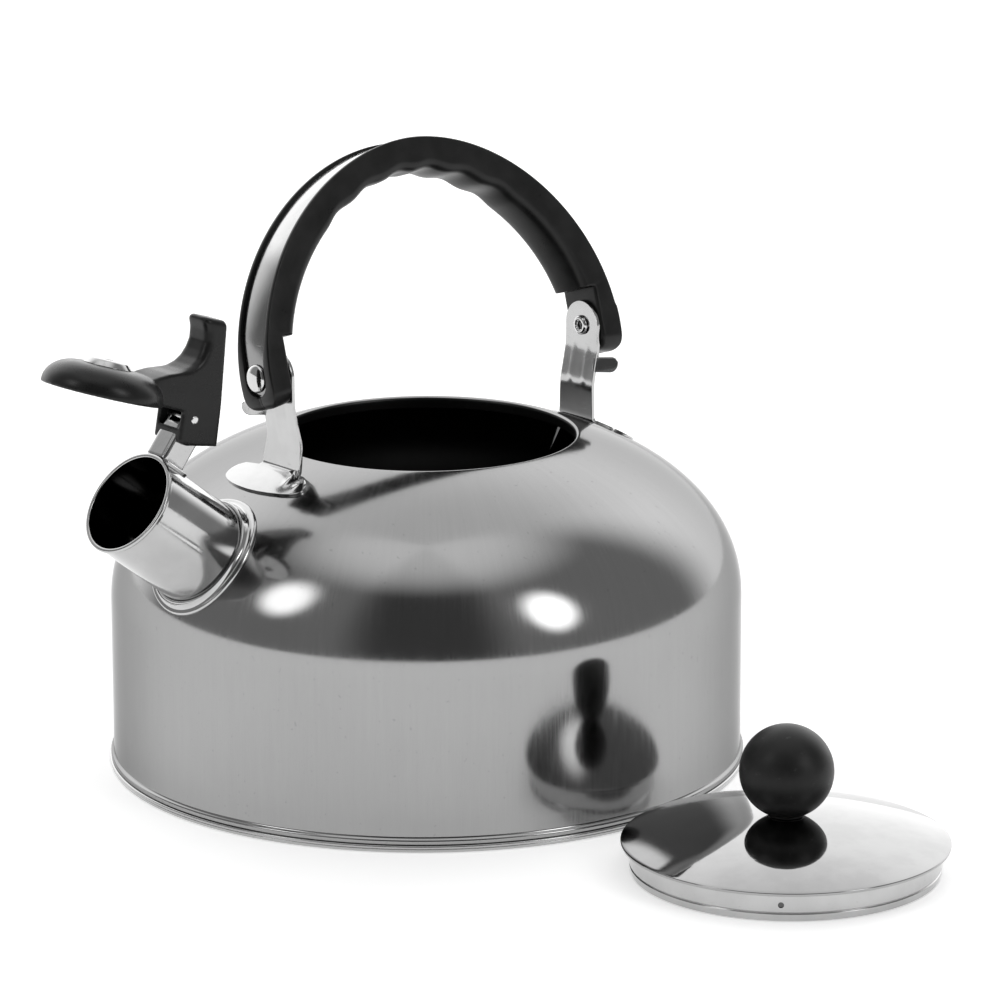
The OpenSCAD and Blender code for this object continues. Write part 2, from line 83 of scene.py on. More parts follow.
class Nodes:
    """Short names for building a node tree."""

    def __init__(self, tree):
        self.tree = tree
        tree.nodes.clear()

    def node(self, kind, **settings):
        made = self.tree.nodes.new(kind)
        for name, value in settings.items():
            setattr(made, name, value)
        return made

    def put(self, socket, value):
        """Links a socket, or sets it where the value is a plain number, vector or colour."""
        if isinstance(value, bpy.types.NodeSocket):
            self.tree.links.new(value, socket)
        else:
            socket.default_value = value

    def math(self, operation, a, b=0.0, clamp=False):
        made = self.node("ShaderNodeMath", operation=operation, use_clamp=clamp)
        self.put(made.inputs[0], a)
        self.put(made.inputs[1], b)
        return made.outputs[0]

    def vector(self, operation, a, b=(0, 0, 0)):
        made = self.node("ShaderNodeVectorMath", operation=operation)
        self.put(made.inputs[0], a)
        self.put(made.inputs[1], b)
        return made.outputs["Value" if operation in ("DOT_PRODUCT", "LENGTH") else "Vector"]

    def scaled(self, a, factor):
        made = self.node("ShaderNodeVectorMath", operation="SCALE")
        self.put(made.inputs[0], a)
        self.put(made.inputs["Scale"], factor)
        return made.outputs["Vector"]

    def ramp(self, value, low, high, to_low=0.0, to_high=1.0, smooth=True):
        made = self.node("ShaderNodeMapRange", interpolation_type="SMOOTHSTEP" if smooth else "LINEAR")
        for name, number in (("Value", value), ("From Min", low), ("From Max", high),
                             ("To Min", to_low), ("To Max", to_high)):
            self.put(made.inputs[name], number)
        return made.outputs[0]

    def noise(self, where, scale, detail=2.0, roughness=0.5):
        made = self.node("ShaderNodeTexNoise")
        self.put(made.inputs["Vector"], where)
        made.inputs["Scale"].default_value = scale
        made.inputs["Detail"].default_value = detail
        made.inputs["Roughness"].default_value = roughness
        return made.outputs["Fac"]

    def mix(self, factor, a, b):
        """Mixes two greys or colours."""
        made = self.node("ShaderNodeMix", data_type="RGBA")
        self.put(made.inputs["Factor"], factor)
        self.put(made.inputs["A"], a)
        self.put(made.inputs["B"], b)
        return made.outputs["Result"]

    def bump(self, height, strength, distance, after=None):
        made = self.node("ShaderNodeBump")
        made.inputs["Strength"].default_value = strength
        made.inputs["Distance"].default_value = distance
        self.put(made.inputs["Height"], height)
        if after is not None:
            self.put(made.inputs["Normal"], after)
        return made.outputs["Normal"]

    def place(self):
        return self.node("ShaderNodeTexCoord").outputs["Object"]


def grey(level, tint=(1.0, 1.0, 1.0)):
    return (level * tint[0], level * tint[1], level * tint[2], 1.0)


def new_material(name):
    material = bpy.data.materials.new(name)
    material.use_nodes = True
    n = Nodes(material.node_tree)
    shader = n.node("ShaderNodeBsdfPrincipled")
    out = n.node("ShaderNodeOutputMaterial")
    n.put(out.inputs["Surface"], shader.outputs["BSDF"])
    return material, n, shader


# ---- Materials --------------------------------------------------------------

def brushed_steel(name, level, rough, streak=1.0, painted_shade_inside=False):
    """Steel with fine brushing that runs up the wall and over the dome."""
    material, n, shader = new_material(name)
    place = n.place()
    flat = n.vector("MULTIPLY", place, (1, 1, 0))
    round_place = n.scaled(n.vector("NORMALIZE", flat), 0.1)
    height = n.vector("MULTIPLY", place, (0, 0, 0.035))
    along = n.vector("ADD", round_place, height)
    fine = n.noise(along, 2600, 2.0, 0.6)
    broad = n.noise(along, 420, 2.0, 0.5)
    cloud = n.noise(place, 28, 2.0, 0.5)
    specks = n.ramp(n.noise(place, 900, 0.0), 0.79, 0.83)
    tone = n.math("ADD", n.ramp(fine, 0.3, 0.7, -0.035 * streak, 0.035 * streak, False),
                  n.ramp(broad, 0.3, 0.7, -0.02 * streak, 0.02 * streak, False))
    tone = n.math("ADD", tone, n.ramp(cloud, 0.3, 0.7, -0.02, 0.02, False))
    tone = n.math("ADD", tone, n.math("MULTIPLY", specks, -0.12))
    tone = n.math("MULTIPLY", n.math("ADD", tone, 1.0), level)
    colour = n.node("ShaderNodeCombineColor")
    for channel in range(3):
        n.put(colour.inputs[channel], tone)
    colour = colour.outputs[0]
    roughness = n.math("ADD", n.ramp(fine, 0.3, 0.7, -0.03, 0.03, False),
                       n.ramp(cloud, 0.3, 0.7, rough - 0.02, rough + 0.02, False))
    # Painted shade: where the inside attribute is set, the colour darkens to near black and the roughness rises. The
    # edge reflection tint is also set here.
    if painted_shade_inside:
        inside = n.node("ShaderNodeAttribute", attribute_name="inside").outputs["Fac"]
        colour = n.mix(inside, colour, grey(0.04))
        roughness = n.math("ADD", roughness, n.math("MULTIPLY", inside, 0.25))
        shader.inputs["Specular Tint"].default_value = grey(0.55)
    n.put(shader.inputs["Base Color"], colour)
    n.put(shader.inputs["Roughness"], roughness)
    shader.inputs["Metallic"].default_value = 1.0
    bump = n.bump(fine, 0.10 * streak, 0.00002)
    bump = n.bump(broad, 0.16 * streak, 0.00004, bump)
    n.put(shader.inputs["Normal"], n.bump(cloud, 0.10, 0.0006, bump))
    return material


def polished_steel(name, level, rough, wear=1.0, tint=(1.0, 1.0, 1.0), painted_shade_inside=False, painted_dark_reflection_below=0.0):
    """Bright steel with faint smears, short hairline scratches and tiny pits."""
    material, n, shader = new_material(name)
    place = n.place()
    smear = n.noise(place, 90, 3.0, 0.55)
    hair = n.noise(n.vector("MULTIPLY", place, (1.0, 0.07, 0.4)), 2400, 2.0, 0.5)
    hair = n.ramp(hair, 0.66, 0.72)
    pits = n.ramp(n.noise(place, 1500, 1.0), 0.74, 0.8)
    low = tuple(0.93 * c for c in grey(level, tint)[:3]) + (1.0,)
    colour = n.mix(n.ramp(smear, 0.35, 0.65), low, grey(level, tint))
    colour = n.mix(n.math("MULTIPLY", pits, 0.25 * wear), colour, grey(0.12))
    # Painted shade: where the inside attribute is set, the colour darkens to dark grey.
    if painted_shade_inside:
        colour = n.mix(n.node("ShaderNodeAttribute", attribute_name="inside").outputs["Fac"], colour, grey(0.10))
    # Painted dark reflection: below the given height the colour blends towards dark grey.
    if painted_dark_reflection_below:
        height = n.vector("DOT_PRODUCT", place, (0, 0, 1))
        colour = n.mix(n.ramp(height, painted_dark_reflection_below - 0.004, painted_dark_reflection_below + 0.004, 0.55, 0.0), colour, grey(0.10))
    n.put(shader.inputs["Base Color"], colour)
    shader.inputs["Metallic"].default_value = 1.0
    roughness = n.ramp(smear, 0.3, 0.7, rough - 0.02, rough + 0.03 * wear, False)
    n.put(shader.inputs["Roughness"], n.math("ADD", roughness, n.math("MULTIPLY", hair, 0.08 * wear)))
    bump = n.bump(hair, 0.08 * wear, 0.00002)
    n.put(shader.inputs["Normal"], n.bump(smear, 0.06 * wear, 0.0004, bump))
    return material


def black_plastic(name, level, rough, grain=1.0, blemish=0.0):
    """Moulded phenolic: fine grain, slight unevenness and, on the knob, pale scuffs."""
    material, n, shader = new_material(name)
    place = n.place()
    cloud = n.noise(place, 120, 3.0, 0.5)
    fine = n.noise(place, 3200, 2.0, 0.6)
    colour = n.mix(n.ramp(cloud, 0.3, 0.7), grey(level * 0.75), grey(level * 1.25))
    if blemish:
        scuff = n.ramp(n.noise(place, 230, 4.0, 0.65), 0.62, 0.76)
        colour = n.mix(n.math("MULTIPLY", scuff, blemish), colour, grey(0.16))
    n.put(shader.inputs["Base Color"], colour)
    n.put(shader.inputs["Roughness"], n.math("ADD", n.ramp(cloud, 0.3, 0.7, rough - 0.05, rough + 0.05, False),
                                             n.ramp(fine, 0.3, 0.7, -0.03, 0.03, False)))
    shader.inputs["Specular IOR Level"].default_value = 0.28
    bump = n.bump(fine, 0.10 * grain, 0.00004)
    n.put(shader.inputs["Normal"], n.bump(cloud, 0.12 * grain, 0.0005, bump))
    return material


MATERIALS = {
    "brushed_body": brushed_steel("brushed_body", 0.34, 0.12, 0.5, painted_shade_inside=True),
    "base_steel": brushed_steel("base_steel", 0.46, 0.16, 0.6),
    "polished_steel": polished_steel("polished_steel", 0.52, 0.10, painted_shade_inside=True),
    "bracket_steel": polished_steel("bracket_steel", 0.50, 0.13, 1.3),
    # The strap carries a painted darker reflection below 168 mm.
    "strap_steel": polished_steel("strap_steel", 0.48, 0.15, 1.2, painted_dark_reflection_below=0.168),
    "rivet_steel": polished_steel("rivet_steel", 0.62, 0.10),
    "whistle_steel": polished_steel("whistle_steel", 0.50, 0.14),
    "spring_steel": polished_steel("spring_steel", 0.40, 0.20),
    "mirror_steel": polished_steel("mirror_steel", 0.37, 0.05, 0.6),
    "lid_steel": polished_steel("lid_steel", 0.50, 0.12, painted_shade_inside=True),
    "screw_steel": polished_steel("screw_steel", 0.42, 0.22, 1.5),
    "insert_brass": polished_steel("insert_brass", 0.60, 0.25, 1.5, (1.0, 0.80, 0.45)),
    "black_moulding": black_plastic("black_moulding", 0.009, 0.34),
    "whistle_moulding": black_plastic("whistle_moulding", 0.009, 0.30),
    "black_knob": black_plastic("black_knob", 0.010, 0.42, 1.2, 0.2),
}


# ---- Mesh helpers -----------------------------------------------------------

def link(name, bm, sharp=38.0, weld=0.002):
    """Turns a bmesh in millimetres into an object in metres."""
    bmesh.ops.remove_doubles(bm, verts=bm.verts, dist=weld)
    bmesh.ops.dissolve_degenerate(bm, edges=bm.edges, dist=weld / 4)
    bmesh.ops.recalc_face_normals(bm, faces=bm.faces)
    bmesh.ops.scale(bm, vec=(MM, MM, MM), verts=bm.verts)
    data = bpy.data.meshes.new(name)
    bm.to_mesh(data)
    bm.free()
    finish_mesh(data, sharp)
    made = bpy.data.objects.new(name, data)
    bpy.context.scene.collection.objects.link(made)
    return made


def finish_mesh(data, sharp):
    for polygon in data.polygons:
        polygon.use_smooth = True
    data.set_sharp_from_angle(angle=math.radians(sharp))


def piece(made, body, slot, *nodes):
    """Gives a finished object its finish and its body, and hides the CAD nodes that it stands for."""
    made.data.materials.clear()
    made.data.materials.append(MATERIALS[slot])
    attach(made, body)
    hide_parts(*nodes)
    return made


def rounded(points, steps=4):
    """A closed outline from (x, y, corner radius) points."""
    out = []
    count = len(points)
    for i, (x, y, r) in enumerate(points):
        here = Vector((x, y))
        if r <= 0:
            out.append((x, y))
            continue
        before = Vector(points[i - 1][:2]) - here
        after = Vector(points[(i + 1) % count][:2]) - here
        a, b = before.normalized(), after.normalized()
        half = math.acos(max(-1.0, min(1.0, a.dot(b)))) / 2
        reach = r / math.tan(half)
        limit = 0.49 * min(before.length, after.length)
        if reach > limit:
            reach = limit
            r = reach * math.tan(half)
        middle = here + (a + b).normalized() * (r / math.sin(half))
        start = here + a * reach - middle
        end = here + b * reach - middle
        sweep = start.angle_signed(end)
        for k in range(steps + 1):
            t = -sweep * k / steps
            turned = Vector((start.x * math.cos(t) - start.y * math.sin(t),
                             start.x * math.sin(t) + start.y * math.cos(t)))
            out.append(tuple(middle + turned))
    return out


def lathe(outline, steps, matrix=None, turn=0.0):
    """Revolves a closed (radius, height) outline about Z."""
    bm = bmesh.new()
    rings = []
    for r, z in outline:
        if abs(r) < 1e-6:
            rings.append([bm.verts.new((0, 0, z))])
        else:
            rings.append([bm.verts.new((r * math.cos(turn + TAU * k / steps), r * math.sin(turn + TAU * k / steps), z))
                          for k in range(steps)])
    stitch(bm, rings, closed_rings=True, closed_path=True)
    if matrix is not None:
        bmesh.ops.transform(bm, matrix=matrix, verts=bm.verts)
    return bm


def stitch(bm, rings, closed_rings, closed_path=False):
    """Joins neighbouring rings of points with faces. A ring of one point is a pole."""
    pairs = list(zip(rings, rings[1:]))
    if closed_path:
        pairs.append((rings[-1], rings[0]))
    for first, second in pairs:
        count = max(len(first), len(second))
        if count == 1:
            continue
        for k in range(count if closed_rings else count - 1):
            m = (k + 1) % count
            if len(first) == 1:
                corners = (first[0], second[k], second[m])
            elif len(second) == 1:
                corners = (first[k], second[0], first[m])
            else:
                corners = (first[k], second[k], second[m], first[m])
            bm.faces.new(corners)


def loft(sections):
    """A closed solid through closed rings of 3-D points, with flat ends."""
    bm = bmesh.new()
    rings = [[bm.verts.new(p) for p in ring] for ring in sections]
    stitch(bm, rings, closed_rings=True)
    bm.faces.new(rings[0])
    bm.faces.new(reversed(rings[-1]))
    return bm


def join(*parts):
    """Several bmeshes as one."""
    out = bmesh.new()
    for bm in parts:
        data = bpy.data.meshes.new("joined")
        bm.to_mesh(data)
        bm.free()
        out.from_mesh(data)
        bpy.data.meshes.remove(data)
    return out


def cylinder(radius, start, end, steps=48, matrix=None):
    bm = lathe([(0, start), (radius, start), (radius, end), (0, end)], steps)
    bmesh.ops.recalc_face_normals(bm, faces=bm.faces)
    if matrix is not None:
        bmesh.ops.transform(bm, matrix=matrix, verts=bm.verts)
    return bm


def block(low, high, matrix=None):
    bm = loft([[(low[0], low[1], z), (high[0], low[1], z), (high[0], high[1], z), (low[0], high[1], z)]
               for z in (low[2], high[2])])
    if matrix is not None:
        bmesh.ops.transform(bm, matrix=matrix, verts=bm.verts)
    return bm


def applied(made, sharp=38.0):
    """Replaces an object's mesh by the result of its modifiers."""
    bpy.context.view_layer.update()
    evaluated = made.evaluated_get(bpy.context.evaluated_depsgraph_get())
    data = bpy.data.meshes.new_from_object(evaluated)
    old = made.data
    made.modifiers.clear()
    made.data = data
    bpy.data.meshes.remove(old)
    finish_mesh(made.data, sharp)
    return made


def boolean(made, tools, operation="DIFFERENCE", sharp=38.0):
    """Cuts or joins solids, given as bmeshes in millimetres."""
    for number, tool in enumerate(tools):
        cutter = link(f"{made.name}_tool{number}", tool)
        modifier = made.modifiers.new("cut", "BOOLEAN")
        modifier.object = cutter
        modifier.operation = operation
        modifier.solver = "EXACT"
        applied(made, sharp)
        data = cutter.data
        bpy.data.objects.remove(cutter)
        bpy.data.meshes.remove(data)
    return made


def shrunk(outline, inset):
    """An outline moved towards its middle by about the inset on every side."""
    middle = [sum(p[i] for p in outline) / len(outline) for i in (0, 1)]
    size = [max(p[i] for p in outline) - min(p[i] for p in outline) for i in (0, 1)]
    return [tuple(middle[i] + (p[i] - middle[i]) * (1 - 2 * inset / size[i]) for i in (0, 1)) for p in outline]


def add_solid(made, bm, sharp=38.0):
    """Adds a closed solid, in millimetres, that is welded on to an object."""
    extra = link(f"{made.name}_extra", bm)
    both = bmesh.new()
    both.from_mesh(made.data)
    both.from_mesh(extra.data)
    both.to_mesh(made.data)
    both.free()
    finish_mesh(made.data, sharp)
    data = extra.data
    bpy.data.objects.remove(extra)
    bpy.data.meshes.remove(data)


def thicken(made, thickness, offset, bevel=0.2, segments=2, sharp=38.0):
    """Makes a sheet into a plate with softened edges."""
    solid = made.modifiers.new("solid", "SOLIDIFY")
    solid.thickness = thickness * MM
    solid.offset = offset
    solid.use_even_offset = True
    if bevel:
        edge = made.modifiers.new("edge", "BEVEL")
        edge.width = bevel * MM
        edge.segments = segments
        edge.limit_method = "ANGLE"
        edge.angle_limit = math.radians(50)
    return applied(made, sharp)


# ---- Shapes shared by the pieces --------------------------------------------

BODY_R = 100.0
WALL_TOP = 53.0
DOME_H = 58.5
FULLNESS = 2.15


def dome_z(r, g=0.0):
    ratio = min(1.0, abs(r) / (BODY_R + g))
    return WALL_TOP + (DOME_H + g) * (1 - ratio ** FULLNESS) ** (1 / FULLNESS)


def dome_point(angle, g=0.0):
    power = 2 / FULLNESS
    return ((BODY_R + g) * max(0.0, math.cos(angle)) ** power, WALL_TOP + (DOME_H + g) * max(0.0, math.sin(angle)) ** power)


def dome_curve(r, g, steps):
    """Points from the top of the wall up to radius r."""
    top = math.acos((r / (BODY_R + g)) ** (FULLNESS / 2))
    return [dome_point(top * i / steps, g) for i in range(steps + 1)]


SPOUT_RISE = 37.4
SPOUT = Matrix.Translation((-115.3, 0, 102.2)) @ Matrix.Rotation(math.radians(SPOUT_RISE - 90), 4, "Y")
CAP = SPOUT @ Matrix.Translation((31.3, 0, -2.1)) @ Matrix.Rotation(math.radians(70), 4, "Y")
HANDLE_X, PIVOT_Z, TILT = 3.5, 131.7, math.radians(1.0)
HANDLE = (Matrix.Translation((HANDLE_X, 0, PIVOT_Z)) @ Matrix.Rotation(TILT, 4, "Y")
          @ Matrix.Rotation(math.radians(-17.3), 4, "X"))
LID = Matrix.Translation((9.8, -159.2, 0))
ALONG_X = Matrix.Rotation(math.radians(90), 4, "Y")
ALONG_Y = Matrix.Rotation(math.radians(-90), 4, "X")


# ---- Body -------------------------------------------------------------------

def painted_shade_attribute(made, test):
    """Marks the vertices where test(x, y, z), in millimetres, holds, for painted shade: materials with
    painted_shade_inside darken them to near black.
    """
    shade = made.data.attributes.new("inside", "FLOAT", "POINT")
    for vertex, value in zip(made.data.vertices, shade.data):
        value.value = 1.0 if test(*(vertex.co / MM)) else 0.0


def make_body_shell():
    sheet, lip_r, opening = 0.6, 1.2, 47.3
    lip_x = opening + lip_r
    start = math.radians(72)
    lip_z = dome_z(lip_x + lip_r * math.cos(start)) - lip_r * math.sin(start)
    neck = lip_z - 2.6
    inner_lip = lip_r - sheet
    foot = rounded([(BODY_R - sheet, 2.22, 0.2), (BODY_R + 0.9, 2.22, 0.45), (BODY_R + 0.9, 3.75, 0.7),
                    (BODY_R, 4.3, 0.9), (BODY_R, 9.0, 0)])
    wall = [(BODY_R, 9.0 + (WALL_TOP - 9.0) * i / 14) for i in range(1, 14)]
    outer = dome_curve(lip_x + lip_r * math.cos(start), 0.0, 84)
    lip = [(lip_x + lip_r * math.cos(start + (math.pi - start) * i / 14),
            lip_z + lip_r * math.sin(start + (math.pi - start) * i / 14)) for i in range(1, 15)]
    neck_end = [(opening, neck + 0.2), (opening + 0.2, neck), (opening + sheet - 0.2, neck), (opening + sheet, neck + 0.2)]
    turn = [(lip_x + inner_lip * math.cos(math.pi - (math.pi - start) * i / 8),
             lip_z + inner_lip * math.sin(math.pi - (math.pi - start) * i / 8)) for i in range(9)]
    inner = list(reversed(dome_curve(lip_x + inner_lip * math.cos(start), -sheet, 48)))[1:]
    inner_wall = [(BODY_R - sheet, WALL_TOP - (WALL_TOP - 6) * i / 6) for i in range(1, 7)]
    bm = lathe(foot + wall + outer + lip + neck_end + turn + inner + inner_wall, 256)
    made = link("body_shell_sheet", bm)
    boolean(made, [cylinder(16.85, -62, -12, 96, SPOUT)])

    # Painted shade inside the shell and its neck: these vertices darken to near black.
    def is_inside(x, y, z):
        r = math.hypot(x, y)
        depth = BODY_R - r if z < WALL_TOP else dome_z(r) - z
        in_neck = r < lip_x - 0.3 and z < lip_z + 0.8
        return in_neck or (depth > 0.3 and not (r < lip_x + 1.0 and z > lip_z - 0.3))

    painted_shade_attribute(made, is_inside)
    return piece(made, "kettle", "brushed_body", "body_shell")


def make_base_pan():
    rim = BODY_R + 1.45
    outline = [(0, 0)] + rounded([
        (69, 0, 0.6), (70.5, 0.8, 0.6), (95, 0.8, 0.6), (96.5, 0, 0.5), (rim - 0.25, 0, 0.5), (rim - 0.1, 1.05, 0.25),
        (rim - 0.32, 1.15, 0.08), (rim, 1.3, 0.25), (rim, 2.2, 0.5), (BODY_R - 1.2, 2.2, 0), (BODY_R - 2.4, 1.6, 0.4),
        (70, 1.6, 0.6), (68.5, 0.8, 0.6)]) + [(0, 0.8)]
    bm = lathe(outline, 256)
    return piece(link("base_pan_pressing", bm), "kettle", "base_steel", "base_pan")


# ---- Spout ------------------------------------------------------------------

def make_spout_tube():
    outline = rounded([
        (15.5, -38.5, 0.15), (16.8, -38.5, 0.3), (16.8, -33, 3), (16.32, -2.0, 1.0), (16.35, -1.25, 0.3),
        (16.88, -1.1, 0.45), (16.88, 0.0, 0.62), (15.5, 0.0, 0.45)], 6)
    made = link("spout_tube_bead", lathe(outline, 128, SPOUT))
    back = SPOUT.inverted()

    # Painted shade in the bore: these vertices darken to dark grey.
    def is_inside(x, y, z):
        local = back @ Vector((x, y, z))
        return math.hypot(local.x, local.y) < 15.6 and local.z < -0.3

    painted_shade_attribute(made, is_inside)
    return piece(made, "kettle", "polished_steel", "spout_tube")


def spout_s(rho, theta, g):
    """How far along the spout's axis the dome, grown by g, meets a line at radius rho."""
    def outside(s):
        p = SPOUT @ Vector((rho * math.cos(theta), rho * math.sin(theta), s))
        r = math.hypot(p.x, p.y)
        return (r / (BODY_R + g)) ** FULLNESS + (max(p.z - WALL_TOP, 0) / (DOME_H + g)) ** FULLNESS - 1
    low, high = -70.0, 0.0
    for _ in range(40):
        middle = (low + high) / 2
        if outside(middle) > 0:
            high = middle
        else:
            low = middle
    return (low + high) / 2


def make_spout_collar():
    bm = bmesh.new()
    rings = []
    steps = 160
    on_dome = [(16.87, 0.03), (20.15, 0.03), (20.32, 0.2), (20.34, 0.55), (20.16, 0.82), (19.85, 0.88), (19.4, 0.74),
               (19.0, 0.72), (18.6, 0.8), (18.3, 1.0), (18.08, 1.4), (17.95, 2.0)]
    up_neck = [(17.9, -33.9), (17.88, -33.5), (17.7, -33.15), (17.45, -33.0), (17.15, -33.02), (16.95, -33.15),
               (16.87, -33.4)]
    for k in range(steps):
        theta = TAU * k / steps
        ring = [(rho, spout_s(rho, theta, g)) for rho, g in on_dome] + up_neck
        rings.append([bm.verts.new(SPOUT @ Vector((rho * math.cos(theta), rho * math.sin(theta), s))) for rho, s in ring])
    rings.append(rings[0])
    stitch(bm, rings, closed_rings=True)
    return piece(link("spout_collar_pressing", bm, weld=0.0005), "kettle", "polished_steel", "spout_collar")


# ---- Handle brackets --------------------------------------------------------

BRACKET_X, BRACKET_W = 61.3, 15.6


def smooth_step(t):
    t = max(0.0, min(1.0, t))
    return t * t * (3 - 2 * t)


def between(line, x):
    """Straight-line interpolation through (x, y) points in rising order of x."""
    for (x0, y0), (x1, y1) in zip(line, line[1:]):
        if x <= x1:
            return y0 + (y1 - y0) * (x - x0) / (x1 - x0)
    return line[-1][1]


def strip_x(z, root_in):
    """How far out the bracket's strip is at height z, with softened bends at its waist and top."""
    line = [(80.0, BRACKET_X - 2.4 + (2.4 - root_in) * 32 / 8.5), (112.0, BRACKET_X - 2.4), (124.0, BRACKET_X),
            (160.0, BRACKET_X)]
    return sum(between(line, z + 1.8 * k / 4) for k in range(-4, 5)) / 9


def make_bracket(name, side, root_in, node):
    """A pressed strip and its oval foot from one sheet, drawn with the outward side towards +X
    and turned round for the front."""
    half = BRACKET_W / 2
    pivot_h = PIVOT_Z - side * BRACKET_X * math.sin(TILT)
    root = BRACKET_X - root_in
    columns = 36
    spread = [-1 + 2 * k / columns for k in range(columns + 1)]
    bm = bmesh.new()
    rings = []

    def row(points):
        rings.append([bm.verts.new((HANDLE_X + side * x, side * y, z)) for x, y, z in points])

    def on_dome(x, y, lift):
        return dome_z(math.hypot(HANDLE_X + side * x, y)) + lift

    fold = 1.3
    flare = 1.4 if side < 0 else 0.3
    root_z = on_dome(root + fold, 0, 0.5)
    # Rounded top, closing to a point over the pivot
    for i in range(13):
        angle = math.pi / 2 * (1 - i / 12)
        z = pivot_h + half * math.sin(angle)
        row([(strip_x(z, root_in), half * math.cos(angle) * u, z) for u in spread])
    top, low = pivot_h - 2, root_z + fold
    for i in range(31):
        z = top + (low - top) * i / 30
        w = half + flare * smooth_step((118.0 - z) / (118.0 - low))
        points = []
        for u in spread:
            y = w * u
            rib = 0.14 * math.exp(-((abs(y) - 3.3) / 1.1) ** 2) * smooth_step((z - 111) / 3) * smooth_step((126 - z) / 3)
            points.append((strip_x(z, root_in) - rib, y, z))
        row(points)
    # Fold at the root, then the foot on the dome
    x0 = strip_x(low, root_in)
    for i in range(1, 7):
        angle = math.pi / 2 * i / 6
        out = fold * (1 - math.cos(angle))
        points = []
        for u in spread:
            y = (half + flare + 0.7 * (i / 6) ** 2) * u
            z = low - fold * math.sin(angle)
            points.append((x0 + out, y, z + (on_dome(x0 + out, y, 0.4) - z) * (i / 6) ** 2))
        row(points)
    near = [(0.0, 9.4), (1.3, 12.6), (2.8, 15.8), (4.0, 16.8), (5.4, 17.2), (6.8, 16.9), (7.8, 16.0), (8.8, 14.2),
            (9.7, 11.9), (10.9, 7.6), (11.7, 3.0), (12.0, -1.5)]
    far = [(0.0, -9.6), (0.8, -14.0), (1.8, -16.8), (3.0, -18.4), (4.6, -19.2), (6.4, -19.1), (8.0, -18.3), (9.0, -17.1),
           (10.2, -14.5), (11.2, -11.0), (11.8, -7.0), (12.0, -2.5)]
    for i in range(0, 22):
        out = fold + 0.25 + (12.0 - fold - 0.25) * math.sin(math.pi / 2 * i / 21)
        y_far, y_near = between(far, out), between(near, out)
        points = []
        for u in spread:
            y = y_far + (y_near - y_far) * (u + 1) / 2
            gusset = 1.1 * math.exp(-((y - 8.6 - 0.12 * out) / 0.9) ** 2) * smooth_step((8.0 - out) / 6.0)
            bump = 0.6 * math.exp(-(((y - 14.4) / 1.4) ** 2 + ((out - 4.2) / 1.7) ** 2))
            sink = 0.35 * smooth_step(out / 8) if side > 0 else 0.0
            points.append((x0 + out, y, on_dome(x0 + out, y, 0.35 - sink + gusset + bump)))
        row(points)
    stitch(bm, rings, closed_rings=False)
    made = link(name, bm, weld=0.01)
    thicken(made, 1.0, 0.0, 0.2)
    boolean(made, [cylinder(2.5, -4, 4, 48, HANDLE @ Matrix.Translation((side * BRACKET_X, 0, 0)) @ ALONG_X)])
    # Stop tab, bent outward at one edge
    top, tall, reach, bend = pivot_h - 9.3, 4.8, 7.4, math.radians(43)
    outline = rounded([(-0.8, top - tall, 0.3), (reach, top - tall, 2.3), (reach, top, 2.3), (-0.8, top, 0.3)], 8)

    def bent(x, y, z):
        out = strip_x(z, root_in) + x * math.cos(bend) + y * math.sin(bend)
        along = -half + 0.5 - x * math.sin(bend) + y * math.cos(bend)
        return HANDLE_X + side * out, side * along, z

    tab = loft([[bent(x, y, z) for x, z in rim]
                for rim, y in ((shrunk(outline, 0.15), -0.5), (outline, -0.35), (outline, 0.35), (shrunk(outline, 0.15), 0.5))])
    add_solid(made, tab)
    return piece(made, "kettle", "bracket_steel", node)


# ---- Handle -----------------------------------------------------------------

ARCH_W, ARCH_H, ARCH_FULL, ARCH_DROP = 70.1, 67.3, 1.89, 0.7
TONGUE_END, TONGUE_IN = -10.2, 62.2
SHOULDER = 13.3


def arch_point(angle, d=0.0):
    """Point on the arch's outer curve, shrunk by d, with its angle in degrees."""
    power = 2 / ARCH_FULL
    c, s = math.cos(math.radians(angle)), math.sin(math.radians(angle))
    return Vector(((ARCH_W - d) * abs(c) ** power * math.copysign(1, c),
                   (ARCH_H - d) * abs(s) ** power * math.copysign(1, s) - ARCH_DROP))


def arch_inward(angle):
    ahead, behind = arch_point(angle + 0.05), arch_point(angle - 0.05)
    along = (ahead - behind).normalized()
    return Vector((-along.y, along.x))


def arch_angle(height):
    """Angle at which the arch has this height, near its rear end."""
    low, high = -20.0, 60.0
    for _ in range(50):
        middle = (low + high) / 2
        if arch_point(middle).y < height:
            low = middle
        else:
            high = middle
    return (low + high) / 2


def strap_half(height):
    """Half width of the strap: it narrows towards the rivet and ends in a round."""
    w = 4.8 + (6.5 - 4.8) * smooth_step((height - 2.0) / 14.0)
    end, r = -5.8, 4.8
    if height < end + r:
        w = min(w, math.sqrt(max(0.0, r * r - (end + r - height) ** 2)))
    return w


def belly_depth(angle):
    depth = 10.8
    if abs(angle - 90) < 41:
        depth -= 0.9 * (1 - math.cos(math.radians((angle - 90) * 360 / 13.5))) / 2
    return depth


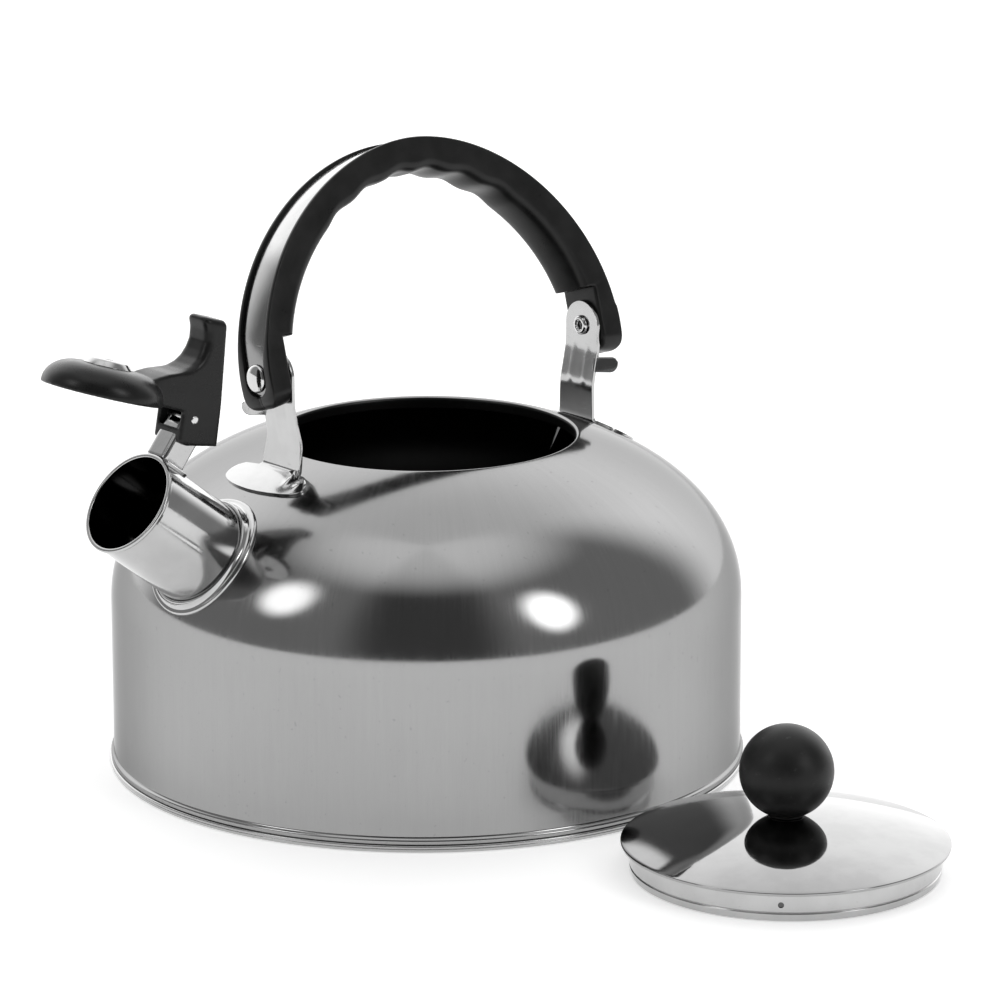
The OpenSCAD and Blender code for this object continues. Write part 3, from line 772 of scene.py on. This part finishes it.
def grip_section(angle):
    """One ring of points round the grip, with the channel for the strap in its outer face."""
    outer = arch_point(angle)
    inward = arch_inward(angle)
    height = outer.y
    local = angle if angle < 90 else 180 - angle
    tongue = (abs(outer.x) - TONGUE_IN) / max(0.3, abs(inward.x))
    blend = smooth_step((local - SHOULDER + 0.7) / 1.5)
    depth = tongue + (belly_depth(angle) - tongue) * blend
    corner = 1.2 + 2.0 * blend
    half = 8.2
    toe = height - TONGUE_END
    plan = 5.5
    if toe < plan:
        half -= plan - math.sqrt(max(0.0, plan * plan - (plan - toe) ** 2))
    top_in = 0.0
    if toe < 3.0:
        top_in = 1.9 * (1 - math.sqrt(max(0.0, 1 - ((3.0 - toe) / 3.0) ** 2)))
    if angle < 90:
        # The rear end's outer face stands a little proud below the strap's last bend
        top_in -= 0.4 * smooth_step((4.9 - height) / 0.5)
    bottom_in = 0.0
    if toe < 1.2:
        bottom_in = 0.8 * (1 - math.sqrt(max(0.0, 1 - ((1.2 - toe) / 1.2) ** 2)))
    channel = min(strap_half(height) + 0.17, half - 1.0)
    sink = 1.7 if strap_half(height) > 0.05 else 0.0
    if sink == 0.0:
        channel = max(0.05, min(0.5, half - 1.2))
    floor = max(sink, 0.0) + top_in
    if sink == 0.0:
        floor = top_in
    rim = 0.55
    ring = []
    # Across the outer face from left to right, then back along the belly
    def arc(cy, cd, r, from_deg, to_deg, n):
        for i in range(n + 1):
            t = math.radians(from_deg + (to_deg - from_deg) * i / n)
            ring.append((cy + r * math.cos(t), cd + r * math.sin(t)))
    lip = min(rim, (half - channel) * 0.45)
    arc(-half + lip, top_in + lip, lip, 180, 270, 4)
    small = min(0.25, lip * 0.5)
    arc(-channel - small, top_in + small, small, 270, 360, 3)
    ring.append((-channel, floor))
    ring.append((-channel * 0.5, floor))
    ring.append((channel * 0.5, floor))
    ring.append((channel, floor))
    arc(channel + small, top_in + small, small, 180, 270, 3)
    arc(half - lip, top_in + lip, lip, 270, 360, 4)
    corner = min(corner, half * 0.6)
    bottom = depth - bottom_in
    arc(half - corner, bottom - corner, corner, 0, 90, 6)
    ring.append((half * 0.35, bottom + 0.25 * blend))
    ring.append((-half * 0.35, bottom + 0.25 * blend))
    arc(-half + corner, bottom - corner, corner, 90, 180, 6)
    out = []
    for y, d in ring:
        point = outer + inward * d
        out.append(HANDLE @ Vector((point.x, y, point.y)))
    return out


def arch_stations(end_height):
    """Angles along the arch from the rear end to the front end, close together at the details."""
    end = arch_angle(end_height)
    rear = [end + (arch_angle(end_height + 6.0) - end) * (1 - math.cos(math.pi / 2 * i / 14)) for i in range(15)]
    rear += [rear[-1] + (SHOULDER - 0.8 - rear[-1]) * i / 20 for i in range(1, 21)]
    rear += [SHOULDER - 0.8 + 1.8 * i / 14 for i in range(1, 15)]
    rear += [SHOULDER + 1.0 + (90 - SHOULDER - 1.0) * i / 110 for i in range(1, 111)]
    return rear + [180 - a for a in reversed(rear[:-1])]


def make_handle_grip():
    stations = arch_stations(TONGUE_END)
    bm = loft([grip_section(a) for a in stations])
    made = link("handle_grip_moulding", bm, sharp=32, weld=0.004)
    boolean(made, [cylinder(2.5, -90, 90, 48, HANDLE @ ALONG_X)], sharp=32)
    return piece(made, "handle", "black_moulding", "handle_grip")


def make_handle_strap():
    sections = []
    stations = arch_stations(-5.79)
    top, bottom = 0.85, 1.65
    for a in stations:
        outer, inward = arch_point(a), arch_inward(a)
        w = max(0.3, strap_half(outer.y))
        ring = rounded([(-w, top, 0.3), (w, top, 0.3), (w, bottom, 0.1), (-w, bottom, 0.1)], 3)
        sections.append([HANDLE @ Vector(((outer + inward * d).x, y, (outer + inward * d).y)) for y, d in ring])
    made = link("handle_strap_band", loft(sections), weld=0.004)
    return piece(made, "handle", "strap_steel", "handle_strap")


def make_rivet(name, side, node):
    """Domed head on the strap, and a rolled tubular end inside the bracket."""
    head_r, head_h, hole_r, rolled_r, shank = 4.4, 1.7, 1.2, 3.15, 2.45
    seat = ARCH_W - 0.85 + 0.02
    inner = BRACKET_X - 0.75
    ring_r = (rolled_r - hole_r) / 2
    outline = [(0, inner + 2), (hole_r, inner + 2)]
    outline += [(hole_r + ring_r - ring_r * math.cos(t), inner - 0.1 - 0.95 * math.sin(t))
                for t in (math.pi * i / 12 for i in range(13))]
    outline += [(rolled_r, inner - 0.02), (shank, inner - 0.02), (shank, seat), (head_r - 0.15, seat), (head_r, seat + 0.12),
                (head_r, seat + 0.4)]
    outline += [(head_r * math.cos(t), seat + 0.4 + head_h * math.sin(t)) for t in (math.pi / 2 * i / 12 for i in range(1, 12))]
    outline += [(0, seat + 0.4 + head_h)]
    steps = 60
    bm = bmesh.new()
    rings = []
    for r, x in outline:
        if r < 1e-6:
            rings.append([bm.verts.new((side * x, 0, 0))])
            continue
        ring = []
        for k in range(steps):
            t = TAU * k / steps
            star = 0.1 * math.cos(6 * t) if 0 < r < hole_r + 0.6 and x < inner + 1 else 0.0
            ring.append(bm.verts.new((side * x, (r + star) * math.cos(t), (r + star) * math.sin(t))))
        rings.append(ring)
    stitch(bm, rings, closed_rings=True)
    bmesh.ops.transform(bm, matrix=HANDLE, verts=bm.verts)
    return piece(link(name, bm), "handle", "rivet_steel", node)


# ---- Whistle ----------------------------------------------------------------

HINGE_UP, HINGE_BACK = 31.3, 2.1


def make_whistle_bracket():
    """A U of sheet steel with two ears, on a curved foot plate."""
    ear, back, front, corner = 4.3, -8.9, -0.8, 0.9
    path = [(-ear, back + (front - corner - back) * i / 16) for i in range(17)]
    path += [(-ear + corner - corner * math.cos(t), front - corner + corner * math.sin(t))
             for t in (math.pi / 2 * i / 5 for i in range(1, 6))]
    path += [(-ear + corner + 2 * (ear - corner) * i / 10, front) for i in range(1, 10)]
    path += [(-y, s) for y, s in reversed(path[:22])]
    bm = bmesh.new()
    rings = []
    for y, s in path:
        reach = 3.3 ** 2 - (s + HINGE_BACK) ** 2
        lobe = HINGE_UP + math.sqrt(reach) if reach > 0 else 0
        on_ear = smooth_step((abs(y) - 2.6) / 1.2)
        shoulder = 28.3 - 1.6 * smooth_step((-7.3 - s) / 1.5)
        top = max(shoulder, lobe) if abs(y) > 4.0 else 28.75 + (max(shoulder, lobe) - 28.75) * on_ear * 0.5
        foot = 16.9
        ring = []
        for i in range(15):
            t = foot + (top - foot) * i / 14
            ring.append(bm.verts.new(SPOUT @ Vector((t, y, s))))
        rings.append(ring)
    stitch(bm, rings, closed_rings=False)
    made = link("whistle_bracket_pressing", bm, weld=0.001)
    thicken(made, 0.9, 0.0, 0.2)
    plate = []
    for s in [-11.2, -11.0] + [-10.6 + 8.4 * i / 8 for i in range(9)] + [-1.9, -1.75]:
        edge = min(1.0, min(s + 11.3, -1.65 - s) / 0.5)
        w = 5.3 * (0.9 + 0.1 * edge)
        ring = []
        for k in range(9):
            a = (w * (1 - 2 * k / 8)) / 16.9
            ring.append((16.45 * math.cos(a), 16.45 * math.sin(a), s))
        for k in range(9):
            a = (w * (2 * k / 8 - 1)) / 16.9
            ring.append(((17.25 - 0.2 * (1 - edge)) * math.cos(a), 17.25 * math.sin(a), s))
        plate.append([SPOUT @ Vector(p) for p in ring])
    boolean(made, [loft(plate)], "UNION")
    pin = SPOUT @ Matrix.Translation((HINGE_UP, 0, -HINGE_BACK)) @ ALONG_Y
    boolean(made, [cylinder(1.35, -8, 8, 32, pin)])
    return piece(made, "kettle", "bracket_steel", "whistle_bracket")


CAP_R, CAP_H, CAP_WALL = 18.7, 8.6, 1.5


# Front face of the lever and its cheeks, as (height over the pin, distance forward) points
CHEEK_FRONT = [(-8.2, -0.4), (-7.6, -3.5), (2.3, -4.7)]
LEVER_FRONT = [(9.7, -18.0), (10.9, -15.6), (12.1, -12.6), (13.0, -9.2), (14.2, -6.2), (15.9, -3.8), (18.1, -2.1),
               (20.8, -1.1), (23.8, -0.7), (27.1, -1.5), (30.1, -3.1), (31.1, -3.3)]


def make_whistle_cap():
    cap_axis = Matrix.Translation((-HINGE_UP, 0, HINGE_BACK))
    top_r = 9.0
    slot = 5.15
    outer = [(0, 0), (CAP_R - 0.2, 0), (CAP_R, 0.2), (CAP_R, 0.8)]
    outer += [(top_r + (CAP_R - top_r) * math.cos(t), 0.8 + (CAP_H - 0.8) * math.sin(t))
              for t in (math.pi / 2 * i / 20 for i in range(1, 21))] + [(0, CAP_H)]
    made = link("whistle_cap_moulding", lathe(outer, 128, CAP @ cap_axis))
    # Lever, arm and cheeks as one stack of rounded sections
    levels = [-8.2, -8.0, -7.6, -6.7, -5.0, -3.0, -1.0, 0.5, 1.8, 2.4, 4.5, 7.0, 9.0, 9.7, 10.3, 10.9, 11.5, 12.1, 12.5, 13.0,
              13.6, 14.2, 15.0, 15.9, 17.0, 18.1, 19.4, 20.8, 22.3, 23.8, 25.5, 27.1, 28.5, 29.6, 30.3, 30.8, 31.1]
    sections = []
    for z in levels:
        front = between(CHEEK_FRONT, z) if z < 2.2 else between(LEVER_FRONT, z) if z > 9.7 else -18.0
        rear = 5.6 + (30.2 - z) * 5.3 / 36.9 if z > -6.7 else 10.9 - (-6.7 - z) * 7.5
        half = 7.0 if z < 6 else 7.0 - 1.8 * (z - 6) / 25.2
        inset = max(0.0, (z - 29.6) / 1.5) ** 2 * 0.9 + max(0.0, (-7.6 - z) / 0.6) * 0.5
        front += inset
        rear -= inset
        half -= inset
        soft = 2.4 if z > 13 else 1.0
        outline = rounded([(front, -half, soft), (rear, -half, 1.0), (rear, half, 1.0), (front, half, soft)], 5)
        sections.append([CAP @ Vector((x, y, z)) for x, y in outline])
    boolean(made, [loft(sections)], "UNION")
    hollow = [(0, -1), (CAP_R - CAP_WALL, -1), (CAP_R - CAP_WALL, 0.8)]
    hollow += [(top_r - 1 + (CAP_R - CAP_WALL - top_r + 1) * math.cos(t), 0.8 + (CAP_H - CAP_WALL - 0.8) * math.sin(t))
               for t in (math.pi / 2 * i / 12 for i in range(1, 13))] + [(0, CAP_H - CAP_WALL)]
    boolean(made, [
        lathe(hollow, 96, CAP @ cap_axis),
        cylinder(4.0, 0, 30, 48, CAP @ cap_axis),
        cylinder(5.0, -slot, slot, 48, CAP @ ALONG_Y),
        block((-30, -slot, -9.3), (6, slot, HINGE_BACK + 0.3), CAP),
    ])
    mesh = made.modifiers.new("blend", "REMESH")
    mesh.mode = "VOXEL"
    mesh.voxel_size = 0.42 * MM
    mesh.use_smooth_shade = True
    ease = made.modifiers.new("ease", "SMOOTH")
    ease.factor = 0.5
    ease.iterations = 4
    applied(made, 180)
    return piece(made, "whistle", "whistle_moulding", "whistle_cap")


def make_whistle_plates():
    above = Matrix.Translation((-HINGE_UP, 0, HINGE_BACK + CAP_H))
    outline = rounded([(1.5, 1.5, 0.15), (1.5, 2.0, 0.2), (6.0, 2.0, 1.2), (7.6, 0.0, 0.15), (7.1, 0.0, 0.1), (5.6, 1.5, 0.9)], 6)
    piece(link("whistle_outer_disc", lathe(outline, 96, CAP @ above)), "whistle", "whistle_steel", "whistle_outer_plate")
    inside = Matrix.Translation((-HINGE_UP, 0, HINGE_BACK + 0.5))
    outline = rounded([(3.0, 0, 0.1), (4.2, -0.35, 0.3), (5.2, 0, 0.3), (17.15, 0, 0.1), (17.15, 0.5, 0.1), (3.0, 0.5, 0.1)], 4)
    piece(link("whistle_inner_disc", lathe(outline, 96, CAP @ inside)), "whistle", "whistle_steel", "whistle_inner_plate")


def make_whistle_pin():
    half = 7.3
    outline = [(0, -half), (0.9, -half)] + [(1.3 - 0.4 + 0.4 * math.sin(t), -half + 0.4 - 0.4 * math.cos(t))
                                           for t in (math.pi / 2 * i / 4 for i in range(5))]
    outline += [(r, -z) for r, z in reversed(outline)]
    bm = lathe(outline, 40, CAP @ ALONG_Y)
    return piece(link("whistle_hinge_pin", bm), "whistle", "rivet_steel", "whistle_pin")


# ---- Lid --------------------------------------------------------------------

LID_TOP, LID_RIM, LID_CURVE = 17.2, 9.4, 160.33


def lid_z(r):
    """Height of the lid's shallow dome at radius r."""
    return LID_TOP - LID_CURVE + math.sqrt(LID_CURVE ** 2 - r * r)


def make_lid():
    r, skirt, hole = 49.4, 46.8, 2.2
    under = [(hole + (46.1 - hole) * i / 24, lid_z(hole + (46.1 - hole) * i / 24) - 0.7) for i in range(25)]
    rim = rounded([(46.1, LID_RIM - 1.2, 0.1), (46.75, LID_RIM - 1.2, 0.1), (46.85, LID_RIM - 0.75, 0.15),
                   (r, LID_RIM - 0.95, 0.3), (r, LID_RIM, 0.35), (r - 1.2, lid_z(r - 1.2), 0)], 5)
    top = [(r - 1.2 - (r - 1.2 - hole) * i / 40, lid_z(r - 1.2 - (r - 1.2 - hole) * i / 40)) for i in range(1, 41)]
    piece(link("lid_disc_pressing", lathe(under + rim + top, 192, LID)), "lid", "mirror_steel", "lid_disc")
    t, high = 0.5, LID_RIM - 1.2
    outline = rounded([
        (skirt, high, 0), (skirt, 2.9, 0.5), (skirt - 0.35, 2.45, 0.1), (skirt - 0.03, 2.1, 0.3), (skirt - 0.3, 0, 0.25),
        (skirt - t - 0.4, 0, 0.25), (skirt - t - 0.12, 2.0, 0.4), (skirt - 0.35 - t, 2.45, 0.2), (skirt - t, 3.0, 0.5),
        (skirt - t, high, 0)], 5)
    made = link("lid_skirt_band", lathe(outline, 192, LID))
    vent = LID @ Matrix.Rotation(math.radians(-134), 4, "Z") @ Matrix.Translation((0, 0, 5.0)) @ ALONG_X
    boolean(made, [cylinder(0.9, skirt - 0.42, skirt + 3, 24, vent)])
    # Painted shade inside the skirt: these vertices darken to dark grey.
    painted_shade_attribute(made, lambda x, y, z: math.hypot(x - LID.translation.x, y - LID.translation.y) < skirt - 0.36)
    piece(made, "lid", "lid_steel", "lid_skirt")


def make_knob():
    top, knob_r, knob_z, neck = LID_TOP + 0.02, 14.2, 30.9, 5.2
    low = -math.acos(neck / knob_r)
    ball = [(knob_r * math.cos(t), knob_z + knob_r * math.sin(t))
            for t in (low + (math.pi / 2 - low) * i / 60 for i in range(61))]
    ball[-1] = (0, knob_z + knob_r)
    outline = [(2.3, top + 0.1), (2.4, top), (neck - 0.15, top), (neck, top + 0.15)] + ball
    outline += [(0, top + 12), (3.45, top + 12), (3.45, top + 2), (2.3, top + 2)]
    made = link("lid_knob_ball", lathe(outline, 96, LID), sharp=44)
    return piece(made, "lid", "black_knob", "lid_knob")


# ---- Build ------------------------------------------------------------------

make_body_shell()
make_base_pan()
make_spout_tube()
make_spout_collar()
make_bracket("front_bracket_pressing", -1, 1.2, "front_bracket")
make_bracket("rear_bracket_pressing", 1, 2.4, "rear_bracket")
make_handle_grip()
make_handle_strap()
make_rivet("front_pivot_rivet_domed", -1, "front_pivot_rivet")
make_rivet("rear_pivot_rivet_domed", 1, "rear_pivot_rivet")
make_whistle_bracket()
make_whistle_cap()
make_whistle_plates()
make_whistle_pin()
make_lid()
make_knob()

# Small CAD parts whose shape is already right keep it and get a finish
for node, slot_name in (("whistle_spring", "spring_steel"), ("knob_insert", "insert_brass"),
                        ("knob_screw", "screw_steel"), ("knob_washer", "screw_steel")):
    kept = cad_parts[node]
    kept.data.materials.clear()
    kept.data.materials.append(MATERIALS[slot_name])


# ---- Studio -----------------------------------------------------------------

def make_floor():
    bm = bmesh.new()
    bmesh.ops.create_grid(bm, x_segments=8, y_segments=8, size=6000)
    bmesh.ops.translate(bm, vec=(0, 0, -0.25), verts=bm.verts)
    floor = link("studio_floor", bm)
    material = bpy.data.materials.new("studio_floor")
    material.use_nodes = True
    n = Nodes(material.node_tree)
    place = n.place()
    paper = n.noise(place, 60, 3.0, 0.5)
    diffuse = n.node("ShaderNodeBsdfDiffuse")
    n.put(diffuse.inputs["Color"], n.mix(paper, grey(0.80), grey(0.83)))
    glow = n.node("ShaderNodeEmission")
    glow.inputs["Color"].default_value = grey(1.0)
    glow.inputs["Strength"].default_value = 0.52
    both = n.node("ShaderNodeAddShader")
    n.put(both.inputs[0], diffuse.outputs[0])
    n.put(both.inputs[1], glow.outputs[0])
    out = n.node("ShaderNodeOutputMaterial")
    n.put(out.inputs["Surface"], both.outputs[0])
    floor.data.materials.append(material)


def toward(azimuth, elevation):
    """World direction from an azimuth counted from the camera's, in degrees."""
    a = CAMERA_AZIMUTH + math.radians(azimuth)
    e = math.radians(elevation)
    return Vector((math.cos(e) * math.cos(a), math.cos(e) * math.sin(a), math.sin(e)))


def softbox(n, direction, azimuth, elevation, wide, tall, strength, soft=0.45):
    """A soft oval light far away, as a term of the world's brightness."""
    ahead = toward(azimuth, elevation)
    right = Vector((-ahead.y, ahead.x, 0)).normalized()
    up = ahead.cross(right)
    across = n.math("DIVIDE", n.vector("DOT_PRODUCT", direction, tuple(right)), math.sin(math.radians(wide)))
    over = n.math("DIVIDE", n.vector("DOT_PRODUCT", direction, tuple(up)), math.sin(math.radians(tall)))
    q = n.math("SQRT", n.math("ADD", n.math("MULTIPLY", across, across), n.math("MULTIPLY", over, over)))
    shape = n.ramp(q, 1.0 - soft, 1.0 + soft, 1.0, 0.0)
    facing = n.math("GREATER_THAN", n.vector("DOT_PRODUCT", direction, tuple(ahead)), 0.0)
    return n.math("MULTIPLY", n.math("MULTIPLY", shape, facing), strength)


def make_world():
    """A white backdrop behind the kettle, a dim room in front of it and two softboxes."""
    world = bpy.data.worlds.new("studio")
    world.use_nodes = True
    n = Nodes(world.node_tree)
    direction = n.node("ShaderNodeTexCoord").outputs["Generated"]
    level = n.vector("NORMALIZE", n.vector("MULTIPLY", direction, (1, 1, 0)))
    away = n.vector("DOT_PRODUCT", level, tuple(toward(180, 0)))
    height = n.vector("DOT_PRODUCT", direction, (0, 0, 1))
    backdrop = n.math("MULTIPLY", n.ramp(away, 0.30, 0.76), n.ramp(height, 0.5, 1.0, 1.85, 0.95))
    not_back = n.ramp(away, 0.30, 0.76, 1.0, 0.0)
    room = n.ramp(away, -0.97, -0.80, 0.085, 0.30)
    overhead = n.ramp(height, 0.78, 1.0, 0.0, 0.95)
    front = n.math("MULTIPLY", not_back, n.math("ADD", room, overhead))
    total = n.math("ADD", backdrop, front)
    total = n.math("ADD", total, softbox(n, direction, -62, 38, 8, 12, 2.8))
    total = n.math("ADD", total, softbox(n, direction, 51, 31, 8, 14, 3.8))
    background = n.node("ShaderNodeBackground")
    n.put(background.inputs["Strength"], total)
    background.inputs["Color"].default_value = (1, 1, 1, 1)
    out = n.node("ShaderNodeOutputWorld")
    n.put(out.inputs["Surface"], background.outputs[0])
    bpy.context.scene.world = world


make_floor()
make_world()
bpy.context.scene.view_settings.view_transform = "Standard"

bpy.context.view_layer.update()
